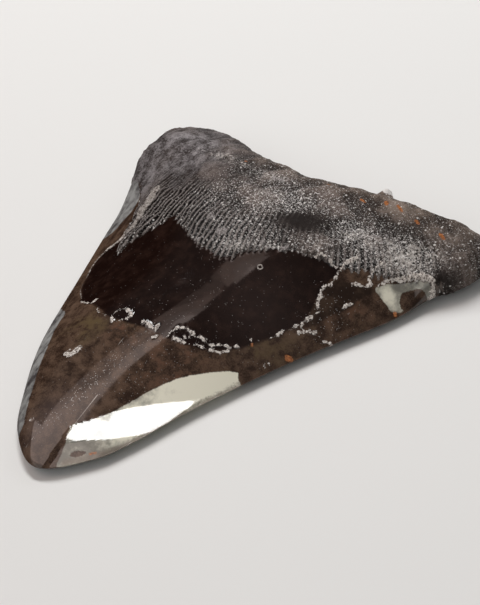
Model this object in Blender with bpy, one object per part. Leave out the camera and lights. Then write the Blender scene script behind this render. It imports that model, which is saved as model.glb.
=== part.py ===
"""Fossil megalodon tooth, polished, lying on its flat outer face with its domed inner face up.

One solid, because crown and root grew as one piece. Metres, +Z up, +Y from the tip to the root.
The shape is worked out with y = 0 at the crown's shoulders, and then moved so that the origin is
the centre of the footprint, on the surface that the tooth lies on.
"""

import bmesh
import bpy
import numpy as np

# Outline in plan, anticlockwise from the tip. Each row is x, y, and the points up to the next row.
OUTLINE = (
    (-0.0045, -0.0893, 5),
    (0.0065, -0.0812, 5),
    (0.0123, -0.0715, 6),
    (0.0195, -0.0547, 7),
    (0.0318, -0.0310, 7),
    (0.0450, -0.0095, 6),
    (0.0502, 0.0015, 7),
    (0.0562, 0.0110, 6),
    (0.0590, 0.0185, 7),
    (0.0500, 0.0228, 11),
    (0.0300, 0.0222, 14),
    (0.0080, 0.0200, 13),
    (-0.0140, 0.0240, 7),
    (-0.0260, 0.0294, 7),
    (-0.0380, 0.0334, 8),
    (-0.0478, 0.0308, 7),
    (-0.0514, 0.0180, 8),
    (-0.0488, 0.0045, 8),
    (-0.0453, -0.0100, 8),
    (-0.0393, -0.0310, 8),
    (-0.0322, -0.0547, 7),
    (-0.0237, -0.0715, 5),
    (-0.0160, -0.0825, 5),
)
FAN_CENTRE = (-0.002, -0.042)

# Height of the inner face along the middle of the crown: y and z.
CROWN_CREST = (
    (-0.0893, 0.0034),
    (-0.0850, 0.0052),
    (-0.0780, 0.0075),
    (-0.0600, 0.0112),
    (-0.0300, 0.0166),
    (0.0000, 0.0218),
    (0.0150, 0.0230),
)
# Where the crown is highest across its width: y, and the place from -1, the left edge, to 1.
CROWN_LEAN = (
    (-0.0893, -0.40),
    (-0.0780, -0.42),
    (-0.0620, -0.20),
    (-0.0450, 0.00),
    (-0.0290, 0.11),
    (0.0100, 0.04),
)
CROWN_WIDEST_Y = 0.004
CROWN_LEAST_WIDTH = 0.001
EDGE_HEIGHT = 0.0028
EDGE_ROUND = 0.0010

# The root's crest bows back towards the lobes and drops.
CREST_X, CREST_Y, CREST_HEIGHT = 0.002, 0.0100, 0.0220
CREST_BOW, CREST_DROP = 4.4, 3.3
CREST_SOFT_LEFT, CREST_SOFT_RIGHT = 0.0012, 0.0050
BACK_SLOPE_LEFT, BACK_SLOPE_RIGHT = 0.38, 0.46
LEFT_LOBE_TO_X, RIGHT_LOBE_FROM_X = -0.020, 0.010
ROOT_RISE_FROM, ROOT_RISE_TO = -0.028, 0.008
ROOT_RIM_HEIGHT = 0.0056
ROOT_ROUND = 0.0076
ROUND_FROM, ROUND_TO = -0.008, 0.020

# Where the root's rough surface begins on the inner face: x and y, from left to right.
ROOT_LINE = (
    (-0.0500, 0.0030),
    (-0.0410, -0.0030),
    (-0.0340, -0.0120),
    (-0.0280, -0.0200),
    (-0.0220, -0.0170),
    (-0.0180, -0.0130),
    (-0.0100, -0.0170),
    (0.0026, -0.0210),
    (0.0090, -0.0185),
    (0.0170, -0.0130),
    (0.0250, -0.0100),
    (0.0385, -0.0044),
    (0.0540, 0.0050),
)
ROOT_STEP = 0.0005
ROOT_STEP_WIDTH = 0.0020

# Ribs that run along the tooth on the root's lower margin. Up the root and out to each side, they
# keep their full height over a share of their reach, and then fade. They sway from side to side.
RIB_PITCH, RIB_HEIGHT = 0.0022, 0.0007
RIB_REACH, RIB_FULL_REACH_SHARE = 0.017, 0.3
RIB_MIDDLE_X, RIB_SPREAD, RIB_FULL_SPREAD_SHARE = -0.006, 0.028, 0.5
RIB_SWAY, RIB_SWAY_LENGTH = 0.0006, 0.022

# Lumps of the root's surface: height, wavelength, direction in degrees, phase.
LUMPS = (
    (0.00022, 0.0170, 20, 0.4),
    (0.00016, 0.0120, 75, 1.9),
    (0.00012, 0.0091, 131, 4.2),
    (0.00009, 0.0068, 48, 2.7),
    (0.00008, 0.0057, 160, 5.6),
    (0.00006, 0.0046, 100, 0.9),
)

# Hollows in the root: x, y, half length along x, half width along y, depth.
HOLLOWS = (
    (0.0175, -0.0030, 0.0056, 0.0028, 0.0008),
    (-0.0030, 0.0120, 0.0030, 0.0026, 0.0007),
    (-0.0300, 0.0060, 0.0040, 0.0030, 0.0006),
    (0.0380, 0.0060, 0.0046, 0.0030, 0.0007),
    (0.0250, -0.0010, 0.0034, 0.0024, 0.0006),
)

# The pale rib beside the left cutting edge: x and y from its lower end to the lobe.
SIDE_RIB = (
    (-0.0286, -0.0406),
    (-0.0352, -0.0320),
    (-0.0370, -0.0250),
    (-0.0325, -0.0170),
    (-0.0310, -0.0030),
)
SIDE_RIB_HEIGHT, SIDE_RIB_WIDTH = 0.0006, 0.0018

# Rings of points on the inner face, and how far the rings over and under the rim come in, as shares
# of the rim's rounding. The underside is flat over a share of its reach.
TOP_RINGS = 21
RIM_STEPS = (1.0, 0.62, 0.30, 0.08)
UNDER_STEPS = (0.0, 0.30, 1.0)
UNDER_EDGE, UNDER_ROOT = 0.0016, 0.0010
FLAT_SHARE = 0.80

# Base colour in linear light, then roughness.
FINISHES = {
    "polished_dentine": ((0.030, 0.020, 0.015), 0.16),
    "root": ((0.110, 0.092, 0.082), 0.62),
    "enamel": ((0.400, 0.380, 0.320), 0.12),
}
# The worn patch of enamel along the right cutting edge: how far in from the edge, and y from and to.
ENAMEL_WIDTH = 0.0125
ENAMEL_FROM, ENAMEL_TO = -0.084, -0.042


def smoothstep(low, high, value):
    """0 below low, 1 above high, and a smooth rise between them."""
    share = np.clip((value - low) / (high - low), 0.0, 1.0)
    return share * share * (3 - 2 * share)


def catmull(before, start, end, after, t):
    """The point at t, from 0 to 1, of the smooth curve's span from start to end."""
    linear = 2 * start + (end - before) * t
    square = (2 * before - 5 * start + 4 * end - after) * t**2
    cube = (3 * start - before - 3 * end + after) * t**3
    return 0.5 * (linear + square + cube)


def closed_curve(rows):
    """Points on a smooth closed curve through rows of x, y and the points up to the next row."""
    corners = [np.array(row[:2]) for row in rows]
    points = []
    for i, (_, _, steps) in enumerate(rows):
        span = [corners[(i + k) % len(corners)] for k in (-1, 0, 1, 2)]
        points += [catmull(*span, step / steps) for step in range(steps)]
    return np.array(points)


def open_curve(rows, steps=10):
    """Points on a smooth open curve through rows of two numbers."""
    rows = np.array(rows)
    last = len(rows) - 1
    points = []
    for i in range(last):
        span = [rows[min(max(i + k, 0), last)] for k in (-1, 0, 1, 2)]
        points += [catmull(*span, step / steps) for step in range(steps)]
    return np.array(points + [rows[last]])


def curve_height(rows, along):
    """The second number of a smooth curve through rows, at the first number along."""
    curve = open_curve(rows)
    return np.interp(along, curve[:, 0], curve[:, 1])


def distance_to(rows, x, y):
    """Distance in plan from x, y to a smooth open curve through rows."""
    curve = open_curve(rows)
    gaps = np.hypot(np.subtract.outer(x, curve[:, 0]), np.subtract.outer(y, curve[:, 1]))
    return gaps.min(axis=-1)


def crown_edges(outline, y):
    """The crown's left and right edge at y, held at their widest from the shoulders on."""
    tip = outline[:, 1].argmin()
    around = np.roll(outline, -tip, axis=0)
    right = around[: int(np.argmax(around[:, 1] > CROWN_WIDEST_Y))]
    back = np.vstack([around[:1], around[::-1]])
    left = back[: int(np.argmax(back[:, 1] > CROWN_WIDEST_Y))]
    return np.interp(y, left[:, 1], left[:, 0]), np.interp(y, right[:, 1], right[:, 0])


def domed_face(outline, x, y):
    """Height of the smooth inner face: a lens across the crown, and a crest across the root."""
    left, right = crown_edges(outline, y)
    across = np.clip((2 * x - left - right) / np.maximum(right - left, CROWN_LEAST_WIDTH), -1, 1)
    peak = curve_height(CROWN_LEAN, y)
    leaning = (across - peak) / (1 - peak * across)
    crown = EDGE_HEIGHT + (curve_height(CROWN_CREST, y) - EDGE_HEIGHT) * (1 - leaning**2)
    off = x - CREST_X
    crest_y = CREST_Y + CREST_BOW * off**2
    crest_z = CREST_HEIGHT - CREST_DROP * off**2
    rightness = smoothstep(LEFT_LOBE_TO_X, RIGHT_LOBE_FROM_X, x)
    soft = CREST_SOFT_LEFT + (CREST_SOFT_RIGHT - CREST_SOFT_LEFT) * rightness
    slope = BACK_SLOPE_LEFT + (BACK_SLOPE_RIGHT - BACK_SLOPE_LEFT) * rightness
    past = y - crest_y
    root = crest_z - slope * 0.5 * (past + np.sqrt(past**2 + soft**2))
    thinning = across**4 * (1 - smoothstep(ROUND_FROM, ROUND_TO, y))
    root = EDGE_HEIGHT + (root - EDGE_HEIGHT) * (1 - thinning)
    return crown + (root - crown) * smoothstep(ROOT_RISE_FROM, ROOT_RISE_TO, y)


def root_relief(x, y):
    """What the rough root adds to the domed face: its step, ribs, lumps and hollows."""
    above = y - curve_height(ROOT_LINE, x)
    root = smoothstep(0, ROOT_STEP_WIDTH, above)
    away = np.abs(x - RIB_MIDDLE_X)
    middle = 1 - smoothstep(RIB_FULL_SPREAD_SHARE * RIB_SPREAD, RIB_SPREAD, away)
    ribs = root * middle * (1 - smoothstep(RIB_FULL_REACH_SHARE * RIB_REACH, RIB_REACH, above))
    sway = RIB_SWAY * np.sin(2 * np.pi * y / RIB_SWAY_LENGTH)
    wave = 0.5 + 0.5 * np.sin(2 * np.pi * (x + sway) / RIB_PITCH)
    lumps = 0.0
    for height, length, degrees, phase in LUMPS:
        turn = np.radians(degrees)
        lumps = lumps + height * np.sin(2 * np.pi * (x * np.cos(turn) + y * np.sin(turn)) / length + phase)
    hollows = 0.0
    for at_x, at_y, long, wide, depth in HOLLOWS:
        hollows = hollows + depth * np.exp(-(((x - at_x) / long) ** 2) - ((y - at_y) / wide) ** 2)
    return root * (ROOT_STEP + lumps - hollows) + RIB_HEIGHT * ribs * wave


def side_rib(x, y):
    """The low pale rib that follows the left cutting edge up to the lobe."""
    return SIDE_RIB_HEIGHT * np.exp(-((distance_to(SIDE_RIB, x, y) / SIDE_RIB_WIDTH) ** 2))


def sheet_rings(outline):
    """Rings of points from near the middle of the inner face, over the rim, to the flat underside."""
    centre = np.array(FAN_CENTRE)
    arms = outline - centre
    reach = np.linalg.norm(arms, axis=1)
    rootness = smoothstep(ROUND_FROM, ROUND_TO, outline[:, 1])
    rounding = (EDGE_ROUND + (ROOT_ROUND - EDGE_ROUND) * rootness) / reach
    rim = EDGE_HEIGHT + (ROOT_RIM_HEIGHT - EDGE_HEIGHT) * rootness
    under = UNDER_EDGE + (UNDER_ROOT - UNDER_EDGE) * rootness

    def plan(share):
        """Points at a share of the way from the centre to the outline."""
        return centre + arms * np.reshape(share, (-1, 1))

    def top(points):
        """Height of the finished inner face."""
        x, y = points.T
        return domed_face(outline, x, y) + root_relief(x, y) + side_rib(x, y)

    rings = []
    for k in range(1, TOP_RINGS):
        points = plan(k / TOP_RINGS * (1 - rounding))
        rings.append(np.column_stack([points, top(points)]))
    for step in RIM_STEPS:
        points = plan(1 - step * rounding)
        share = np.sqrt(1 - (1 - step) ** 2)
        rings.append(np.column_stack([points, rim + (top(points) - rim) * share]))
    for step in UNDER_STEPS:
        points = plan(1 - step * rounding)
        share = np.sqrt(1 - (1 - step) ** 2)
        rings.append(np.column_stack([points, rim + (under - rim) * share]))
    points = plan(FLAT_SHARE)
    rings.append(np.column_stack([points, np.zeros(len(points))]))
    middle = np.array([centre])
    return rings, np.array([*centre, top(middle)[0]])


def tooth_mesh():
    """The tooth as one closed mesh, with the centre of its footprint at the origin."""
    outline = closed_curve(OUTLINE)
    rings, peak = sheet_rings(outline)
    shift = np.array([*(outline.min(axis=0) + outline.max(axis=0)) / 2, 0])
    build = bmesh.new()
    top = build.verts.new(peak - shift)
    loops = [[build.verts.new(point) for point in ring - shift] for ring in rings]
    count = len(outline)
    for i in range(count):
        j = (i + 1) % count
        build.faces.new((top, loops[0][i], loops[0][j]))
        for inner, outer in zip(loops, loops[1:]):
            build.faces.new((inner[i], outer[i], outer[j], inner[j]))
    build.faces.new(loops[-1][::-1])
    build.normal_update()
    mesh = bpy.data.meshes.new("tooth")
    build.to_mesh(mesh)
    build.free()
    return mesh, outline, shift


def finish(name):
    """A Principled material with this finish's colour and roughness."""
    colour, roughness = FINISHES[name]
    material = bpy.data.materials.new(name)
    material.use_nodes = True
    shader = material.node_tree.nodes["Principled BSDF"]
    shader.inputs["Base Color"].default_value = (*colour, 1)
    shader.inputs["Roughness"].default_value = roughness
    shader.inputs["Metallic"].default_value = 0
    return material


def paint_zones(mesh, outline, shift):
    """Gives each face the finish of its zone: dentine on the crown, root, or the patch of enamel."""
    names = list(FINISHES)
    for name in names:
        mesh.materials.append(finish(name))
    for face in mesh.polygons:
        x, y = (np.array(face.center) + shift)[:2]
        right = crown_edges(outline, y)[1]
        if y > curve_height(ROOT_LINE, x):
            face.material_index = names.index("root")
        elif right - x < ENAMEL_WIDTH and ENAMEL_FROM < y < ENAMEL_TO:
            face.material_index = names.index("enamel")


def main():
    """Clears the scene and makes the tooth."""
    for thing in list(bpy.data.objects):
        bpy.data.objects.remove(thing)
    mesh, outline, shift = tooth_mesh()
    paint_zones(mesh, outline, shift)
    mesh.shade_smooth()
    tooth = bpy.data.objects.new("tooth", mesh)
    bpy.context.scene.collection.objects.link(tooth)


if __name__ == "__main__":
    main()
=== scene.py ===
"""The looks of a fossil megalodon tooth, polished, lying on its flat outer face.

The tooth is one piece. Lengths are in millimetres until a mesh is made. The form is worked out in
plan, with y = 0 at the crown's shoulders and +Y from the crown's tip to the root, and is then moved
so that the middle of its footprint is at the frame's origin.
"""

import logging
import math
from collections.abc import Sequence
from dataclasses import dataclass
from enum import Enum

import bpy
import numpy as np
from mathutils import Matrix, Vector


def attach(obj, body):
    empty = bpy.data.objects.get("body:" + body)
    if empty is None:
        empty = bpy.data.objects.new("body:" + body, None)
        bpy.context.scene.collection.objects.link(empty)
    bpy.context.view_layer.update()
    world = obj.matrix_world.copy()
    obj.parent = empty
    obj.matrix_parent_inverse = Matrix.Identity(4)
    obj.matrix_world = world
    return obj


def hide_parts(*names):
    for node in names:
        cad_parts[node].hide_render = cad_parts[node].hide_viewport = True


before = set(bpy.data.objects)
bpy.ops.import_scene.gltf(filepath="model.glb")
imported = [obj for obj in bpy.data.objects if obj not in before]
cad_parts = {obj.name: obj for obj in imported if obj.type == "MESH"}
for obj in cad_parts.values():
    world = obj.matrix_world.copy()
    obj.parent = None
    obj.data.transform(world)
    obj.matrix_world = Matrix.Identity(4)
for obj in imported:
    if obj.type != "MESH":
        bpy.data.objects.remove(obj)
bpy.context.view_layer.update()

Array = np.ndarray
Spot = tuple[float, float]
Colour = tuple[float, float, float]

MM = 0.001
NODE = "tooth"
BODY = "root"
BAKE_MAP = "OFBake"
HASH_STRIDES = (73856093, 19349663, 83492791)
HASH_SEED = 2654435761
HASH_ROUNDS = ((15, 2246822519), (13, 3266489917))
GRAIN_BLUR = 0.08
GRAIN_CHANCE_BLUR = 0.02

logging.basicConfig(level=logging.INFO, format="%(message)s")
log = logging.getLogger("tooth")


def smoothstep(low: float, high: float, value: Array) -> Array:
    """A smooth rise from 0 to 1.

    Args:
        low: where the rise starts.
        high: where it ends.
        value: the places to read it at.

    Returns:
        0 below low, 1 above high, and a smooth rise between them.
    """
    share = np.clip((value - low) / (high - low), 0.0, 1.0)
    return share * share * (3 - 2 * share)


def smooth_curve(rows: Sequence[Sequence[float]], steps: int = 8, closed: bool = False) -> Array:
    """Points on a smooth curve through rows of two numbers.

    Args:
        rows: the points that the curve goes through.
        steps: how many points it gets from one row to the next.
        closed: whether it runs on from the last row to the first.

    Returns:
        The points, one a row.
    """
    rows = np.array(rows, float)
    last = len(rows) - 1
    share = np.arange(steps)[:, None] / steps
    spans = []
    for i in range(len(rows) if closed else last):
        around = [i + k for k in (-1, 0, 1, 2)]
        pick = [k % len(rows) for k in around] if closed else [min(max(k, 0), last) for k in around]
        before, start, end, after = rows[pick]
        slope = end - before
        bend = 2 * before - 5 * start + 4 * end - after
        twist = 3 * start - before - 3 * end + after
        spans.append(0.5 * (2 * start + slope * share + bend * share**2 + twist * share**3))
    if not closed:
        spans.append(rows[-1:])
    return np.vstack(spans)


def read_curve(rows: Sequence[Sequence[float]], along: Array) -> Array:
    """The second number of a smooth curve through rows, where its first number is along."""
    curve = smooth_curve(rows)
    return np.interp(along, curve[:, 0], curve[:, 1])


def gap_to(line: Array, x: Array, y: Array) -> tuple[Array, Array]:
    """How far places in plan are from a line of points.

    Args:
        line: the line's points, one a row.
        x: the places' x.
        y: the places' y.

    Returns:
        The distance to the nearest point of the line, and how far along the line that is, from 0 to 1.
    """
    best = np.full(np.shape(x), np.inf)
    along = np.zeros(np.shape(x))
    count = len(line) - 1
    for i, (start, end) in enumerate(zip(line, line[1:])):
        run = end - start
        length = max(float(run @ run), 1e-9)
        share = np.clip(((x - start[0]) * run[0] + (y - start[1]) * run[1]) / length, 0, 1)
        gap = np.hypot(x - start[0] - share * run[0], y - start[1] - share * run[1])
        nearer = gap < best
        best = np.where(nearer, gap, best)
        along = np.where(nearer, (i + share) / count, along)
    return best, along


@dataclass(frozen=True)
class Grain:
    """Smooth random waves in space, the same on every run.

    Attributes:
        seed: which of many patterns this is.
        size: the width of the coarsest waves.
        count: how many layers of waves there are, each half as wide and half as high as the last.
    """

    seed: int
    size: float
    count: int

    def layer(self, points: Array, number: int) -> Array:
        """Reads one layer of waves.

        Args:
            points: places in space, one a row.
            number: the layer's number, 0 for the coarsest.

        Returns:
            A height from -1 to 1 for each place.
        """
        cell = points / (self.size / 2**number)
        base = np.floor(cell).astype(np.int64)
        part = cell - base
        fade = part**3 * (part * (part * 6 - 15) + 10)
        total = np.zeros(len(points))
        for corner in np.ndindex(2, 2, 2):
            spot = (base + corner) * HASH_STRIDES
            key = (spot[:, 0] ^ spot[:, 1] ^ spot[:, 2]) + (self.seed + number) * HASH_SEED
            for shift, factor in HASH_ROUNDS:
                key = ((key ^ (key >> shift)) * factor) & 0xFFFFFFFF
            value = ((key ^ (key >> 16)) & 0xFFFF) / 32767.5 - 1
            total += value * np.prod(np.where(corner, fade, 1 - fade), axis=1)
        return total

    def __call__(self, points: Array) -> Array:
        """Adds up the layers: a height for each place, within about -1 to 1."""
        total = sum(self.layer(points, number) / 2**number for number in range(self.count))
        return total / (2 - 2 ** (1 - self.count))


@dataclass(frozen=True)
class Form:
    """The tooth's smooth form: its outline in plan, its domed inner face and its flat outer face.

    Attributes:
        outline: corners of the outline, anticlockwise from the tip.
        crest: height along the middle of the crown, as y and z.
        lean: where the crown is highest across its width, as y and a place from -1 to 1.
        widest_y: where the crown's edges stop spreading.
        edge_height: height of the cutting edges.
        edge_round: radius of the cutting edges in plan.
        root_height: height of the root's rim.
        root_round: radius of the root's rim in plan.
        round_from: y where an edge starts to swell into the root's rim.
        round_to: y where it has swollen.
        crest_x: x of the root's highest place.
        crest_y: y of the root's highest place.
        crest_height: height of the root's highest place.
        crest_bow: how fast the root's crest runs back towards the lobes.
        crest_drop: how fast it drops towards them.
        crest_soft: how sharply the crest turns over the left lobe and over the right one.
        back_slope: slope of the face behind the crest, left and right.
        least_width: the least width of crown that its lens is fitted to.
        left_to: x where the left lobe's crest starts to turn into the right one's.
        right_from: x where it has turned.
        rise_from: y where the crown starts to swell into the root.
        rise_to: y where it has swollen.
        under_edge: height of the underside at the cutting edges.
        under_root: height of the underside at the root's rim.
        flat_share: how much of the way out the underside is flat.
        under_centre: the middle that the flat is measured from.
    """

    outline: tuple[Spot, ...] = (
        (-4.5, -89.3), (6.5, -81.2), (12.3, -71.5), (19.5, -54.7), (31.8, -31.0), (45.0, -9.5), (50.2, 1.5),
        (56.2, 11.0), (59.0, 18.5), (50.0, 22.8), (30.0, 22.2), (8.0, 20.0), (-14.0, 24.0), (-26.0, 29.4),
        (-38.0, 33.4), (-47.8, 30.8), (-51.4, 18.0), (-48.8, 4.5), (-45.3, -10.0), (-39.3, -31.0),
        (-32.2, -54.7), (-23.7, -71.5), (-16.0, -82.5),
    )
    crest: tuple[Spot, ...] = (
        (-89.3, 3.4), (-85.0, 5.2), (-78.0, 7.5), (-60.0, 11.2), (-30.0, 16.6), (0.0, 21.8), (15.0, 23.0),
    )
    lean: tuple[Spot, ...] = (
        (-89.3, -0.40), (-78.0, -0.42), (-62.0, -0.20), (-45.0, 0.00), (-29.0, 0.11), (10.0, 0.04),
    )
    widest_y: float = 4.0
    edge_height: float = 2.8
    edge_round: float = 1.0
    root_height: float = 5.6
    root_round: float = 7.6
    round_from: float = -8.0
    round_to: float = 20.0
    crest_x: float = 2.0
    crest_y: float = 10.0
    crest_height: float = 22.0
    crest_bow: float = 0.0044
    crest_drop: float = 0.0033
    crest_soft: Spot = (1.2, 5.0)
    back_slope: Spot = (0.38, 0.46)
    least_width: float = 1.0
    left_to: float = -20.0
    right_from: float = 10.0
    rise_from: float = -28.0
    rise_to: float = 8.0
    under_edge: float = 1.6
    under_root: float = 1.0
    flat_share: float = 0.80
    under_centre: Spot = (-2.0, -42.0)

    def rim(self) -> Array:
        """The outline as a fine closed line, anticlockwise from the tip."""
        return smooth_curve(self.outline, 40, closed=True)

    def middle(self) -> Array:
        """The middle of the footprint's box."""
        rim = self.rim()
        return (rim.min(axis=0) + rim.max(axis=0)) / 2

    def edges(self, y: Array) -> tuple[Array, Array]:
        """The crown's left and right edge.

        Args:
            y: places along the tooth.

        Returns:
            The left and the right edge's x, held at their widest from the shoulders on.
        """
        rim = self.rim()
        around = np.roll(rim, -int(rim[:, 1].argmin()), axis=0)
        right = around[: int(np.argmax(around[:, 1] > self.widest_y))]
        back = np.vstack([around[:1], around[::-1]])
        left = back[: int(np.argmax(back[:, 1] > self.widest_y))]
        return np.interp(y, left[:, 1], left[:, 0]), np.interp(y, right[:, 1], right[:, 0])

    def rootness(self, y: Array) -> Array:
        """0 where the rim is a cutting edge, 1 where it is the root's rim."""
        return smoothstep(self.round_from, self.round_to, y)

    def rim_height(self, rootness: Array) -> Array:
        """Height of the rim where it is this much the root's."""
        return self.edge_height + (self.root_height - self.edge_height) * rootness

    def rounding(self, rootness: Array) -> Array:
        """Radius of the rim in plan where it is this much the root's."""
        return self.edge_round + (self.root_round - self.edge_round) * rootness

    def dome(self, x: Array, y: Array) -> Array:
        """Height of the inner face: a lens across the crown, and a crest across the root.

        Args:
            x: places across the tooth.
            y: places along it.

        Returns:
            The height at each place.
        """
        left, right = self.edges(y)
        across = np.clip((2 * x - left - right) / np.maximum(right - left, self.least_width), -1, 1)
        peak = read_curve(self.lean, y)
        leaning = (across - peak) / (1 - peak * across)
        crown = self.edge_height + (read_curve(self.crest, y) - self.edge_height) * (1 - leaning**2)
        off = x - self.crest_x
        crest_y = self.crest_y + self.crest_bow * off**2
        crest_z = self.crest_height - self.crest_drop * off**2
        rightness = smoothstep(self.left_to, self.right_from, x)
        soft = self.crest_soft[0] + (self.crest_soft[1] - self.crest_soft[0]) * rightness
        slope = self.back_slope[0] + (self.back_slope[1] - self.back_slope[0]) * rightness
        past = y - crest_y
        root = crest_z - slope * 0.5 * (past + np.sqrt(past**2 + soft**2))
        thinning = across**4 * (1 - self.rootness(y))
        root = self.edge_height + (root - self.edge_height) * (1 - thinning)
        return crown + (root - crown) * smoothstep(self.rise_from, self.rise_to, y)


@dataclass(frozen=True)
class Patch:
    """A closed area of the surface, seen in plan.

    Attributes:
        corners: its corners, in order.
        smooth: whether its edge is a smooth curve through them.
    """

    corners: tuple[Spot, ...]
    smooth: bool = True

    def depth(self, x: Array, y: Array) -> Array:
        """How deep places are inside the area, in millimetres, negative outside.

        Args:
            x: the places' x.
            y: the places' y.

        Returns:
            The depth at each place.
        """
        edge = smooth_curve(self.corners, 5, closed=True) if self.smooth else np.array(self.corners)
        edge = np.vstack([edge, edge[:1]])
        inside = np.zeros(np.shape(x), bool)
        for start, end in zip(edge, edge[1:]):
            crosses = (start[1] > y) != (end[1] > y)
            rise = end[1] - start[1]
            meet = start[0] + (y - start[1]) * (end[0] - start[0]) / (rise if rise else 1.0)
            inside ^= crosses & (x < meet)
        gap = gap_to(edge, x, y)[0]
        return np.where(inside, gap, -gap)


@dataclass(frozen=True)
class Line:
    """A raised or coloured line on the surface, seen in plan.

    Attributes:
        points: the points that it goes through.
        start: its half width where it starts.
        end: its half width where it ends.
        closed: whether it is a ring.
        swell: how late along the line its width changes.
    """

    points: tuple[Spot, ...]
    start: float
    end: float
    closed: bool = False
    swell: float = 1.0

    def depth(self, x: Array, y: Array) -> Array:
        """How deep places are inside the line, in millimetres, negative outside.

        Args:
            x: the places' x.
            y: the places' y.

        Returns:
            The depth at each place.
        """
        if len(self.points) == 1:
            return self.start - np.hypot(x - self.points[0][0], y - self.points[0][1])
        line = smooth_curve(self.points, 5, self.closed)
        if self.closed:
            line = np.vstack([line, line[:1]])
        gap, along = gap_to(line, x, y)
        return self.start + (self.end - self.start) * along**self.swell - gap


def deepest(shapes: Sequence[Patch | Line], x: Array, y: Array) -> Array:
    """The greatest depth that each place has inside any of these shapes."""
    return np.max([shape.depth(x, y) for shape in shapes], axis=0)


@dataclass(frozen=True)
class Cloud:
    """A soft-edged area that something is strewn over.

    Attributes:
        centre: its middle.
        reach: its half length and half width.
        turn: how far its length is turned from the x axis, in degrees.
        strength: how thick it is in the middle.
    """

    centre: Spot
    reach: Spot
    turn: float = 0.0
    strength: float = 1.0

    def amount(self, x: Array, y: Array) -> Array:
        """How thick the cloud is.

        Args:
            x: the places' x.
            y: the places' y.

        Returns:
            The amount at each place.
        """
        turn = math.radians(self.turn)
        away_x, away_y = x - self.centre[0], y - self.centre[1]
        along = (away_x * math.cos(turn) + away_y * math.sin(turn)) / self.reach[0]
        across = (away_y * math.cos(turn) - away_x * math.sin(turn)) / self.reach[1]
        return self.strength * np.exp(-(along**2) - across**2)


def strewn(clouds: Sequence[Cloud], x: Array, y: Array) -> Array:
    """What all these clouds add up to at each place."""
    return np.sum([cloud.amount(x, y) for cloud in clouds], axis=0)


class Field(Enum):
    """What is stored at each point of the mesh for the finish to read, and what it tells.

    For a shape it is how deep the place is in it, in millimetres. Otherwise it is a share or a height.
    """

    ROOT = "the root"
    BOURLETTE = "the dark band below it"
    ENAMEL = "cream enamel left along the right edge"
    GREY_ENAMEL = "greyer enamel along the left edge"
    WINDOW = "dark dentine that shows through the enamel"
    SIDE_RIB = "the pale line that follows the left cutting edge"
    CRUST = "raised pale lines and crumbs"
    BROWN = "the brown zone at the right end of the band"
    MARK = "scratches and dots, which are only colour"
    STAIN = "small orange spots"
    BEAD = "the white bead on the root's back edge"
    # A band of painted shade along the cream enamel's lower edge, where it turns under.
    SHADOWED = "the worn edge of the cream enamel"
    NODULE = "round grey lumps on the root's lower margin"
    RIBBED = "where the root has ribs"
    CREST = "1 on the crest of a rib, 0 between two"
    # The finish also paints the root darker in these hollows and lighter on these lumps: painted shade and
    # light.
    RELIEF = "height of the root's lumps, hollows and grit"
    # Painted glints: where white glints of the lamps are painted on the root as pale specks.
    PAINTED_GLINT = "where the root glitters"
    SCALE = "where it has pale scale on it"
    SMOOTH = "where it is dark and smooth"
    LOBE = "where it is bluish and has no glitter"
    BACK = "where it is brown"
    OCHRE = "where the crown is ochre"
    RUST = "where it is reddish"
    SPECKLE = "where it has fine pale specks"
    # Painted sheen: where a pale pinkish reflection is painted into the crown's colour.
    PAINTED_SHEEN = "where its polish is hazy"
    CREAM = "where the enamel is palest"
    TILT = "height of the polished facet"
    FLANK = "where the left flank's polish has gone"

    @property
    def stored(self) -> str:
        """The name that it is stored under."""
        return self.name.lower()


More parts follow.
